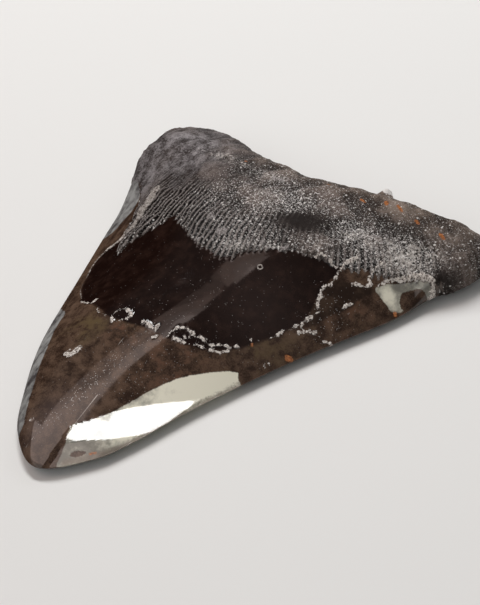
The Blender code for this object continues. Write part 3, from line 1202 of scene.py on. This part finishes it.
@dataclass(frozen=True)
class ToothFinish:
    """The whole surface's finish: one material whose zones follow the mesh's fields.

    Attributes:
        dentine: the polished brown crown.
        bourlette: the dark band under the root.
        ochre: the crown's yellowish mottling.
        rust: its reddish mottling.
        painted_sheen: a pale pinkish sheen painted into the crown's colour near the tip and mid crown.
        brown: the brown zone at the right end of the band.
        enamel: the cream enamel along the right edge.
        grey_enamel: the grey enamel along the left edge.
        shadowed: painted shade in brown along the cream enamel's lower edge.
        crust: the raised pale lines.
        root: the matt root, painted darker in its hollows and lighter on its lumps.
        rib: the root's ribs, with painted shade in the grooves and painted light on the crests.
        lobe: the bluish left lobe.
        back: the brown back edge.
        nodule: the grey lumps.
        stain: the orange spots.
        speck_and_glint: pale specks on the crown, the white bead, and white glints painted on the root.
        dentine_roughness: how dull the polished crown is.
        enamel_roughness: how dull the enamel is.
        root_roughness: how dull the root and the crust are.
        refraction: the polish's index of refraction.
        dull_shine: how strongly an unpolished place reflects.
        root_dulling: the share of the polish that the root lacks.
        grain_depth: height of the grain on a matt place, in millimetres.
        fine_depth: height of the fine noise there.
        wave_depth: height of the coarse noise everywhere.
    """

    dentine: Finish = Finish(Paint(46, 33, 26), Paint(94, 75, 62), 0.36, 0.66)
    bourlette: Finish = Finish(Paint(24, 13, 10), Paint(42, 28, 23), 0.40, 0.80)
    ochre: Paint = Paint(88, 74, 52)
    rust: Paint = Paint(94, 64, 50)
    # The pale pinkish colour of the painted sheen.
    painted_sheen: Paint = Paint(104, 90, 86)
    brown: Finish = Finish(Paint(40, 29, 23), Paint(64, 50, 40), 0.40, 0.70)
    enamel: Finish = Finish(Paint(118, 116, 108), Paint(226, 222, 204), 0.34, 0.66)
    grey_enamel: Finish = Finish(Paint(66, 62, 62), Paint(146, 146, 144), 0.36, 0.62)
    # The brownish grey of the painted shade along the enamel's lower edge.
    shadowed: Paint = Paint(112, 102, 92)
    crust: Finish = Finish(Paint(104, 92, 84), Paint(232, 224, 216), 0.40, 0.56)
    root: Finish = Finish(Paint(36, 29, 26), Paint(104, 92, 86), 0.45, 1.05)
    rib: Finish = Finish(Paint(14, 10, 9), Paint(136, 128, 124), 0.70, 1.25)
    lobe: Finish = Finish(Paint(62, 56, 55), Paint(152, 147, 148), 0.38, 0.64)
    back: Finish = Finish(Paint(54, 44, 38), Paint(136, 121, 110), 0.45, 1.05)
    nodule: Finish = Finish(Paint(96, 88, 84), Paint(196, 190, 188), 0.40, 0.62)
    stain: Finish = Finish(Paint(128, 76, 44), Paint(184, 116, 66), 0.40, 0.60)
    # Near white: the crown's pale specks, the white bead, and the glints painted on the root.
    speck_and_glint: Paint = Paint(238, 234, 230)
    dentine_roughness: float = 0.07
    enamel_roughness: float = 0.05
    root_roughness: float = 0.50
    refraction: float = 1.5
    dull_shine: float = 0.0
    root_dulling: float = 0.7
    grain_depth: float = 0.30
    fine_depth: float = 0.34
    wave_depth: float = 0.010

    def build(self) -> bpy.types.Material:
        """Makes the material.

        Returns:
            The finished material.
        """
        tree = ToothTree("fossil_tooth")
        fine, cloud = tree.fine, tree.cloud
        enamel = tree.zone(Field.ENAMEL) * (1.0 - tree.zone(Field.WINDOW))
        grey = tree.zone(Field.GREY_ENAMEL)
        root = tree.zone(Field.ROOT)
        crusted = tree.zone(Field.CRUST).most(tree.zone(Field.SIDE_RIB) * (0.85 - root * 0.40))
        stain = tree.zone(Field.STAIN)

        colour = self.crown(tree)
        colour = tree.blend(enamel, colour, self.ivory(tree))
        colour = tree.blend(grey, colour, tree.tones(self.grey_enamel, tree.broad * 0.4 + cloud * 0.6))
        colour = tree.blend(tree.zone(Field.MARK) * 0.6, colour, self.crust.light.linear())
        colour = tree.blend(root, colour, self.bone(tree))
        colour = tree.blend(crusted, colour, tree.tones(self.crust, fine * 0.6 + tree.grain * 0.4))
        colour = tree.blend(stain, colour, tree.tones(self.stain, fine))
        colour = tree.blend(tree.zone(Field.BEAD), colour, self.speck_and_glint.linear())

        dull = crusted.most(root)
        dentine = self.dentine_roughness + (cloud - 0.5) * 0.08
        polish = tree.pick(enamel.most(grey), dentine, self.enamel_roughness)
        rough = tree.pick(dull.most(stain), polish, self.root_roughness + (0.5 - fine) * 0.5)
        uneven = (tree.grain - 0.5) * self.grain_depth + (fine - 0.5) * self.fine_depth
        height = dull * uneven + (cloud - 0.5) * self.wave_depth + tree.field(Field.TILT)
        bump = tree.add("ShaderNodeBump", {}, {"Strength": 1.0, "Distance": MM, "Height": height})
        sockets = {"Base Color": colour, "Roughness": rough, "Normal": bump, "IOR": self.refraction}
        polished = tree.add("ShaderNodeBsdfPrincipled", {}, sockets)
        sockets["Specular IOR Level"] = self.dull_shine
        unpolished = tree.add("ShaderNodeBsdfPrincipled", {}, sockets)
        shine = (1.0 - root * self.root_dulling) * (1.0 - tree.field(Field.FLANK))
        tree.close(tree.add("ShaderNodeMixShader", {}, {0: shine, 1: unpolished, 2: polished}))
        return tree.material

    def crown(self, tree: ToothTree) -> Wire:
        """The crown's colour, without its enamel, with a pale sheen painted in near the tip and mid crown.

        Args:
            tree: the material's tree.

        Returns:
            The colour.
        """
        cloud = tree.cloud
        colour = tree.tones(self.dentine, cloud * 0.7 + tree.grain * 0.3)
        patchy = tree.broad.over(0.42, 0.62) * cloud.over(0.36, 0.60)
        colour = tree.blend((tree.field(Field.OCHRE) * patchy).most(0.0), colour, self.ochre.linear())
        reddish = tree.field(Field.RUST) * cloud.over(0.45, 0.66)
        colour = tree.blend(reddish, colour, self.rust.linear())
        colour = tree.blend(tree.zone(Field.BOURLETTE), colour, tree.tones(self.bourlette, cloud))
        colour = tree.blend(tree.zone(Field.BROWN), colour, tree.tones(self.brown, cloud))
        # Painted sheen: a pale pinkish tint where the polish's reflection is painted in.
        colour = tree.blend(tree.field(Field.PAINTED_SHEEN).least(1.0), colour, self.painted_sheen.linear())
        speckle = tree.field(Field.SPECKLE)
        specks = tree.grains(0.30, 0.02, 0.34, speckle * 0.10)
        return tree.blend(specks * (speckle.least(2.0) * 0.22 + 0.12), colour, self.speck_and_glint.linear())

    def ivory(self, tree: ToothTree) -> Wire:
        """The cream enamel's colour, with painted shade in brown along its lower edge.

        Args:
            tree: the material's tree.

        Returns:
            The colour.
        """
        paleness = tree.field(Field.CREAM) * 0.34 + tree.broad * 0.4 + tree.cloud * 0.6 - 0.10
        # Painted shade: a ragged brownish band along the enamel's lower edge.
        shadowed = tree.zone(Field.SHADOWED) * 0.8
        return tree.blend(shadowed, tree.tones(self.enamel, paleness), self.shadowed.linear())

    def bone(self, tree: ToothTree) -> Wire:
        """The root's colour, with painted shade in its hollows and rib grooves, painted light on its lumps
        and rib crests, and white glints painted as specks.

        Args:
            tree: the material's tree.

        Returns:
            The colour.
        """
        fine, grain, cloud = tree.fine, tree.grain, tree.cloud
        smooth, lobe, scale = (tree.field(f) for f in (Field.SMOOTH, Field.LOBE, Field.SCALE))
        ribbed = tree.field(Field.RIBBED)
        # Painted shade and light: the root darkens in its hollows and lightens on its lumps, mixed with
        # noise for its own tone.
        relief_shade_and_tone = tree.field(Field.RELIEF) * 0.6 + fine * 0.5 + grain * 0.4 + cloud * 0.5
        # Painted shade and light on the ribs: near black in the grooves, pale on the crests.
        crest = tree.field(Field.CREST) * 0.8 + fine * 0.5 + grain * 0.3
        blotch = tree.tones(self.lobe, cloud * 0.6 + fine * 0.4)
        bone = tree.tones(self.root, relief_shade_and_tone)
        bone = tree.blend(tree.field(Field.BACK), bone, tree.tones(self.back, relief_shade_and_tone))
        bone = tree.blend(ribbed, bone, tree.tones(self.rib, crest))
        bone = tree.blend(lobe * (1.0 - ribbed * 0.8), bone, blotch)
        bone = tree.blend(smooth * 0.9, bone, self.root.dark.linear())
        crusty = (cloud * 0.4 + fine * 0.6 + scale * 0.16).over(0.56, 0.68) * scale.least(1.0)
        bone = tree.blend(crusty * 0.7, bone, self.crust.light.linear())
        # Painted glints: white specks of colour strewn over the root where its grit would catch the lamps,
        # some dimmer than others.
        favour = tree.field(Field.PAINTED_GLINT) + scale * 0.8 - smooth * 2.0 - lobe * 1.4
        bright = (tree.noise(0.40, 2.0, 0.75, 43.0) + favour * 0.10).over(0.58, 0.68)
        glint_strength = 0.35 + tree.noise(0.9, 1.0, 0.5, 57.0).over(0.35, 0.70) * 0.65
        bone = tree.blend(bright * glint_strength, bone, self.speck_and_glint.linear())
        margin = 1.0 - tree.field(Field.ROOT).over(0.4, 2.2)
        coarse = tree.grains(0.70, 0.05, 0.40, favour * 0.03 + margin * 0.24 - lobe * 0.3)
        bone = tree.blend(coarse * 0.7, bone, self.speck_and_glint.linear())
        lumps = tree.tones(self.nodule, fine * 0.5 + grain * 0.5)
        return tree.blend(tree.zone(Field.NODULE) * 0.75, bone, lumps)


@dataclass(frozen=True)
class Tooth:
    """The tooth itself, one closed skin.

    Attributes:
        form: its smooth form.
        relief: what its surface has over the form.
        finish: its finish.
        cells: how many squares wide the inner face's grid is, a multiple of 8.
        heart: the middle of that grid, in plan.
        rim_share: how much of the grid runs round the rim.
        under_steps: how many rings run round the lower half of the rim.
        under_rings: how many coarse rings the underside has.
        inner_ring: width of the grid's fine rings at the cutting edges, and what the root adds.
        under_inset: how far the underside is drawn in.
        flank_lean: how far the left flank leans where its polish starts to fade and where it has gone.
    """

    form: Form = Form()
    relief: Relief = Relief(Markings())
    finish: ToothFinish = ToothFinish()
    cells: int = 280
    heart: Spot = (0.0, -15.0)
    rim_share: float = 0.07
    under_steps: int = 5
    under_rings: int = 20
    inner_ring: Spot = (1.3, 7.6)
    under_inset: float = 1.4
    flank_lean: Spot = (0.12, 0.28)

    def rim_points(self, share: Array) -> Array:
        """The outline's points at shares of its length.

        Args:
            share: how far round from the tip, from 0 to 1.

        Returns:
            A point in plan for each share.
        """
        rim = self.form.rim()
        rim = np.vstack([rim, rim[:1]])
        steps = np.hypot(*np.diff(rim, axis=0).T)
        length = np.concatenate([[0.0], np.cumsum(steps)]) / steps.sum()
        return np.column_stack([np.interp(share % 1.0, length, rim[:, k]) for k in (0, 1)])

    def rim_depth(self, plan: Array) -> tuple[Array, Array]:
        """How far places are in from the rim, as a share of the rim's rounding.

        Args:
            plan: the places in plan.

        Returns:
            That share, held at 1 where the rounding has ended, and how much each place's rim is the root's.
        """
        form = self.form
        rim = form.rim() - form.under_centre
        turn = np.unwrap(np.arctan2(rim[:, 1], rim[:, 0]))
        reach = np.hypot(*rim.T)
        away = plan - form.under_centre
        here = np.arctan2(away[:, 1], away[:, 0])
        here = turn[0] + (here - turn[0]) % (2 * np.pi)
        rim_reach = np.interp(here, turn, reach, period=2 * np.pi)
        rootness = form.rootness(np.interp(here, turn, rim[:, 1], period=2 * np.pi) + form.under_centre[1])
        depth = (rim_reach - np.hypot(*away.T)) / form.rounding(rootness)
        return np.clip(depth, 0.0, 1.0), rootness

    def inner_face(self) -> tuple[Array, Array, Array, Array]:
        """The grid of the inner face, out to the rim's edge.

        Returns:
            The points, their places on the map, the faces, and the rim's points in order from the tip.
        """
        size = self.cells
        row = np.linspace(-1, 1, size + 1)
        across, along = np.meshgrid(row, row)
        out = np.maximum(np.abs(across), np.abs(along))
        safe = np.maximum(out, 1e-9)
        wide = np.abs(across) >= np.abs(along)
        main = np.where(wide, across, along)
        slant = np.where(wide, along, -across) / np.where(main == 0, 1, main)
        share = (slant / 8 + np.where(wide, 0, 0.25) + np.where(main < 0, 0.5, 0)) % 1.0
        rim = self.rim_points(share.ravel()).reshape(size + 1, size + 1, 2)
        arms = rim - self.heart
        reach = np.hypot(arms[..., 0], arms[..., 1])
        width = (self.inner_ring[0] + self.inner_ring[1] * self.form.rootness(rim[..., 1])) / reach
        flat = 1 - self.rim_share
        bend = np.clip((safe - flat) / self.rim_share, 0, 1) * np.pi / 2
        spread = np.minimum(safe / flat, 1) * (1 - width) + width * np.sin(bend)
        plan = np.array(self.heart) + arms * np.where(out > 0, spread, 0)[..., None]
        on_map = np.array(self.heart) + arms * out[..., None]
        number = np.arange((size + 1) ** 2).reshape(size + 1, size + 1)
        faces = np.stack([number[:-1, :-1], number[:-1, 1:], number[1:, 1:], number[1:, :-1]], axis=-1)
        edge = np.concatenate([number[:, -1], number[-1, -2::-1], number[-2::-1, 0], number[0, 1:-1]])
        order = np.argsort(share.ravel()[edge])
        plan = plan.reshape(-1, 2)
        depth, rootness = self.rim_depth(plan)
        rim_height = self.form.rim_height(rootness)
        dome = self.form.dome(plan[:, 0], plan[:, 1])
        height = rim_height + (dome - rim_height) * np.sqrt(1 - (1 - depth) ** 2)
        points = np.column_stack([plan, height])
        return points, on_map.reshape(-1, 2), faces.reshape(-1, 4), edge[order]

    def outer_face(self, rim_spots: Array, start: int) -> tuple[Array, Array, list[tuple[int, ...]]]:
        """The flat underside and the lower half of the rim.

        Args:
            rim_spots: the rim's points, in order from the tip, as number and place.
            start: the number of the first point that this adds.

        Returns:
            The points, their places on the map, and the faces.
        """
        form = self.form
        number, plan = rim_spots[:, 0].astype(int), rim_spots[:, 1:3]
        arms = plan - form.under_centre
        reach = np.hypot(*arms.T)
        rootness = form.rootness(plan[:, 1])
        rounding = form.rounding(rootness) / reach
        rim = form.rim_height(rootness)
        under = form.under_edge + (form.under_root - form.under_edge) * rootness
        total = self.under_steps + self.under_rings
        points, on_map, faces = [], [], []

        def ring(pick: Array, share: Array, height: Array, step: int) -> None:
            """Adds one ring of points.

            Args:
                pick: which of the rim's points it has.
                share: how far out each is, as a share of the way to the rim.
                height: their height.
                step: the ring's number, counted from the rim.
            """
            points.append(np.column_stack([form.under_centre + arms[pick] * share[:, None], height]))
            on_map.append(form.under_centre + arms[pick] * (1 - step / (total + 1)))

        every = np.arange(len(plan))
        last = number
        for step in range(1, self.under_steps + 1):
            bend = step / self.under_steps * np.pi / 2
            ring(every, 1 - (1 - math.cos(bend)) * rounding, rim + (under - rim) * math.sin(bend), step)
            here = start + len(plan) * (step - 1) + every
            after = np.roll(every, -1)
            faces += zip(last, here, here[after], last[after])
            last = here
        fourth = every[::4]
        count = len(fourth)
        first = start + len(plan) * self.under_steps
        slope = self.under_rings // 3
        for k in range(self.under_rings):
            sloping = (k + 1) / slope
            share = 1 - rounding[fourth] + (form.flat_share - 1 + rounding[fourth]) * min(sloping, 1.0)
            share = share * min(1.0, (self.under_rings - k) / (self.under_rings - slope + 1))
            ring(fourth, share, under[fourth] * max(0.0, 1 - sloping), self.under_steps + k + 1)
            here = first + count * k + np.arange(count)
            after = np.roll(here, -1)
            if k:
                faces += zip(last, here, after, np.roll(last, -1))
            else:
                around = np.append(last, last[:1])
                for i in range(count):
                    a, b, c, d, e = around[4 * i : 4 * i + 5]
                    faces += [(a, here[i], b), (b, here[i], c), (c, here[i], after[i])]
                    faces += [(c, after[i], d), (d, after[i], e)]
            last = here
        points.append(np.array([[*form.under_centre, 0.0]]))
        on_map.append(np.array([form.under_centre]))
        middle = first + count * self.under_rings
        faces += zip(last, np.full(count, middle), np.roll(last, -1))
        return np.vstack(points), np.vstack(on_map), faces

    def normals(self, points: Array, faces: Sequence[Sequence[int]]) -> Array:
        """The surface's direction at each point.

        Args:
            points: the points.
            faces: the faces.

        Returns:
            A unit direction for each point, out of the solid.
        """
        total = np.zeros_like(points)
        corners = [face[k] for face in faces for k in (0, 1, 2)]
        corners = np.array(corners).reshape(-1, 3)
        tails = np.array([[face[0], face[2], face[3]] for face in faces if len(face) == 4])
        for corner in (corners, tails):
            a, b, c = (points[corner[:, k]] for k in range(3))
            out = np.cross(b - a, c - a)
            for k in range(3):
                np.add.at(total, corner[:, k], out)
        return total / np.maximum(np.linalg.norm(total, axis=1), 1e-12)[:, None]

    def build(self) -> bpy.types.Object:
        """Makes the tooth and dresses it.

        Returns:
            The finished object, in the scene.
        """
        inner, inner_map, inner_faces, rim = self.inner_face()
        rim_spots = np.column_stack([rim, inner[rim, :2]])
        outer, outer_map, outer_faces = self.outer_face(rim_spots, len(inner))
        points = np.vstack([inner, outer])
        faces = [tuple(map(int, face)) for face in inner_faces.tolist() + outer_faces]
        normals = self.normals(points, faces)
        fields, height = self.relief.fields(points)
        fields[Field.FLANK] = smoothstep(*self.flank_lean, -normals[:, 0])
        down = smoothstep(0.1, 0.9, -normals[:, 2])
        points = points + normals * (height - down * self.under_inset)[:, None]
        points[:, 2] = np.maximum(points[:, 2], 0.0)
        points[:, :2] -= self.form.middle()
        mesh = bpy.data.meshes.new("fossil_tooth")
        mesh.from_pydata((points * MM).tolist(), [], faces)
        mesh.shade_smooth()
        for field, values in fields.items():
            stored = mesh.attributes.new(field.stored, "FLOAT", "POINT")
            stored.data.foreach_set("value", values.astype(np.float32))
        self.lay_out_map(mesh, inner_map, outer_map, len(inner_faces))
        mesh.materials.append(self.finish.build())
        tooth = bpy.data.objects.new("fossil_tooth", mesh)
        bpy.context.scene.collection.objects.link(tooth)
        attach(tooth, BODY)
        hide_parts(NODE)
        log.info("fossil_tooth: %d points, %d faces", len(mesh.vertices), len(mesh.polygons))
        return tooth

    def lay_out_map(self, mesh: bpy.types.Mesh, inner: Array, outer: Array, inner_count: int) -> None:
        """Lays the surface out flat: the inner face on the left of the map, the outer one on its right.

        Args:
            mesh: the mesh.
            inner: the inner face's places.
            outer: the outer face's places.
            inner_count: how many faces the inner face has.
        """
        low, high = inner.min(axis=0), inner.max(axis=0)
        places = (np.vstack([inner, outer]) - low) / (high - low)
        left = places * (0.65, 0.98) + (0.01, 0.01)
        right = places * (0.31, 0.98) + (0.68, 0.01)
        corner_point = np.empty(len(mesh.loops), np.int32)
        mesh.loops.foreach_get("vertex_index", corner_point)
        spots = right[corner_point]
        spots[: inner_count * 4] = left[corner_point[: inner_count * 4]]
        layer = mesh.uv_layers.new(name=BAKE_MAP)
        layer.data.foreach_set("uv", spots.astype(np.float32).ravel())


@dataclass(frozen=True)
class Softbox:
    """A flat rectangular lamp that hangs over the tooth and shines straight down.

    Attributes:
        name: its name.
        left: its edge's x, in metres.
        right: its other edge's x.
        near: its edge's y.
        far: its other edge's y.
        height: how high it hangs.
        brightness: how bright it looks.
        colour: its colour, in linear light.
    """

    name: str
    left: float
    right: float
    near: float
    far: float
    height: float
    brightness: float
    colour: Colour = (1.0, 1.0, 1.0)

    def build(self) -> None:
        """Makes the lamp."""
        lamp = bpy.data.lights.new(self.name, "AREA")
        lamp.shape = "RECTANGLE"
        lamp.size = self.right - self.left
        lamp.size_y = self.far - self.near
        lamp.color = self.colour
        lamp.energy = self.brightness * math.pi * lamp.size * lamp.size_y
        placed = bpy.data.objects.new(self.name, lamp)
        placed.location = ((self.left + self.right) / 2, (self.near + self.far) / 2, self.height)
        bpy.context.scene.collection.objects.link(placed)


@dataclass(frozen=True)
class Studio:
    """The pale floor, the soft lamps and the camera.

    Attributes:
        lamps: the softboxes.
        surround: how bright the room is.
        floor_roughness: how dull the floor is.
        floor_reach: the floor's half width in metres.
        floor: the floor's colour.
        azimuth: the camera's direction round the tooth, in degrees.
        elevation: its height in degrees.
        roll: how far it is rolled, in degrees.
        distance: how far it stands from the place it looks at, in metres.
        aim: that place.
        focal_length: its focal length in millimetres.
        film_width: the width of its film in millimetres.
    """

    lamps: tuple[Softbox, ...] = (
        Softbox("band_box", -0.43, -0.11, -0.50, 0.05, 1.0, 2.1, (1.0, 0.82, 0.76)),
        Softbox("band_box_tip", -0.80, -0.43, -0.50, -0.02, 1.0, 2.1, (1.0, 0.82, 0.76)),
        Softbox("band_box_mid", -0.43, -0.11, 0.05, 0.10, 1.0, 1.0, (1.0, 0.78, 0.70)),
        Softbox("band_box_far", -0.43, -0.15, 0.10, 0.17, 1.0, 0.8, (1.0, 0.74, 0.64)),
        Softbox("band_box_end", -0.43, -0.20, 0.17, 0.25, 1.0, 0.4, (1.0, 0.74, 0.64)),
        Softbox("strip_box", -0.80, 0.10, 0.45, 0.62, 1.0, 17.0),
        Softbox("strip_box_near", -0.52, 0.10, 0.37, 0.45, 1.0, 17.0),
        Softbox("front_box", -1.2, 1.6, -2.4, -0.60, 1.1, 0.9),
        Softbox("back_box", -0.6, 1.8, 0.90, 2.4, 1.3, 0.6),
    )
    surround: float = 0.06
    floor_roughness: float = 0.7
    floor_reach: float = 3.0
    floor: Paint = Paint(226, 226, 224)
    azimuth: float = 43.4
    elevation: float = 40.0
    roll: float = -12.3
    distance: float = 0.420
    aim: tuple[float, float, float] = (0.00834, 0.00178, 0.010)
    focal_length: float = 100.42
    film_width: float = 36.0

    def build(self) -> None:
        """Makes the floor, the lamps, the room's light and the camera."""
        scene = bpy.context.scene
        scene.view_settings.view_transform = "Standard"
        reach = self.floor_reach
        mesh = bpy.data.meshes.new("floor")
        corners = [(-reach, -reach, 0), (reach, -reach, 0), (reach, reach, 0), (-reach, reach, 0)]
        mesh.from_pydata(corners, [], [(0, 1, 2, 3)])
        paint = bpy.data.materials.new("floor")
        paint.use_nodes = True
        shader = paint.node_tree.nodes["Principled BSDF"]
        shader.inputs["Base Color"].default_value = (*self.floor.linear(), 1)
        shader.inputs["Roughness"].default_value = self.floor_roughness
        mesh.materials.append(paint)
        floor = bpy.data.objects.new("floor", mesh)
        scene.collection.objects.link(floor)
        for lamp in self.lamps:
            lamp.build()
        room = bpy.data.worlds.new("room")
        room.use_nodes = True
        room.node_tree.nodes["Background"].inputs["Color"].default_value = (self.surround,) * 3 + (1,)
        scene.world = room
        self.place_camera()
        log.info("studio: %d lamps", len(self.lamps))

    def place_camera(self) -> None:
        """Makes the camera and aims it."""
        turn, rise, roll = (math.radians(v) for v in (self.azimuth, self.elevation, self.roll))
        level_out = math.cos(rise)
        back = Vector((math.sin(turn) * level_out, -math.cos(turn) * level_out, math.sin(rise)))
        level = Vector((math.cos(turn), math.sin(turn), 0.0))
        upright = back.cross(level)
        right = level * math.cos(roll) + upright * math.sin(roll)
        up = upright * math.cos(roll) - level * math.sin(roll)
        lens = bpy.data.cameras.new("camera")
        lens.sensor_width = self.film_width
        lens.lens = self.focal_length
        camera = bpy.data.objects.new("camera", lens)
        turned = Matrix((right, up, back)).transposed().to_4x4()
        camera.matrix_world = Matrix.Translation(Vector(self.aim) + back * self.distance) @ turned
        bpy.context.scene.collection.objects.link(camera)
        bpy.context.scene.camera = camera


def write_sizes() -> None:
    """Updates the view layer."""
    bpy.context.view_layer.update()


def main() -> None:
    """Builds the tooth and the studio."""
    Tooth().build()
    Studio().build()
    write_sizes()


if __name__ == "__main__":
    main()
